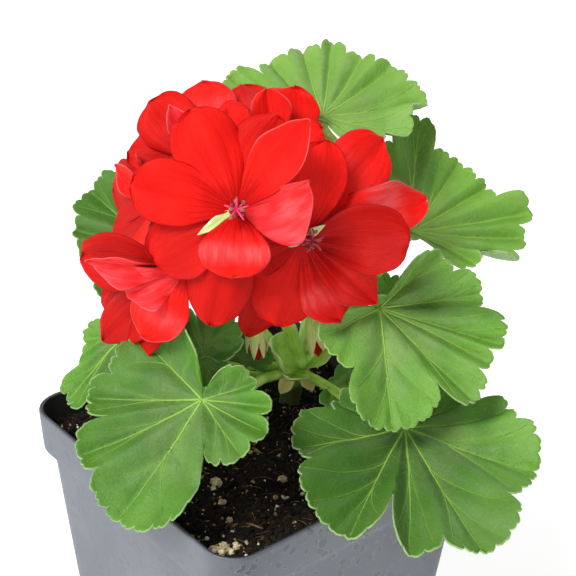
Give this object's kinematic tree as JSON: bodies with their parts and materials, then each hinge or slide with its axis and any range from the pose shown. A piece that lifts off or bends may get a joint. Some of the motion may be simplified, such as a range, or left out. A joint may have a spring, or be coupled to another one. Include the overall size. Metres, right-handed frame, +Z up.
{
  "type": "zonal geranium in a pot",
  "caption": "Zonal geranium with scalloped leaves and a cluster of red florets, rooted in a square tapered nursery pot of soil.",
  "frame": {"origin": "centre of the pot's flat underside, where it stands on the floor", "axes": "+Z up along the pot's axis; X and Y along the sides of the square pot; the front corner of the picture is towards -X -Y"},
  "size_m": [0.1338, 0.1403, 0.1882],
  "materials": {
    "pot_grey": "satin grey plastic, dark inside",
    "soil": "damp dark potting mix",
    "leaf_green": "soft, finely hairy green leaf",
    "young_green": "darker green young leaf",
    "stalk_green": "light green hairy stalk",
    "petal_red": "satin red petal",
    "stigma_pink": "pink style"
  },
  "bodies": {
    "root": {"pot": "pot_grey", "soil": "soil", "stems": "stalk_green", "flower_stalk": "stalk_green", "leaf_front_left": "leaf_green", "leaf_front_right": "leaf_green", "leaf_right": "leaf_green", "leaf_back_right": "leaf_green", "leaf_top": "leaf_green", "leaf_left": "leaf_green", "leaf_low_left": "leaf_green", "leaf_back": "leaf_green", "leaf_middle_right": "leaf_green", "young_leaf_fan": "young_green", "young_leaf_round": "young_green", "young_leaf_dark": "young_green", "young_leaf_low": "young_green", "floret_front": "petal_red", "floret_right": "petal_red", "floret_low_left": "petal_red", "floret_top_left": "petal_red", "floret_top_right": "petal_red", "floret_left": "petal_red", "floret_back": "petal_red", "floret_back_left": "petal_red", "bud_left": "petal_red", "bud_right": "petal_red", "bud_back": "petal_red", "floret_front_style": "stigma_pink", "floret_right_style": "stigma_pink"}
  },
  "joints": []
}
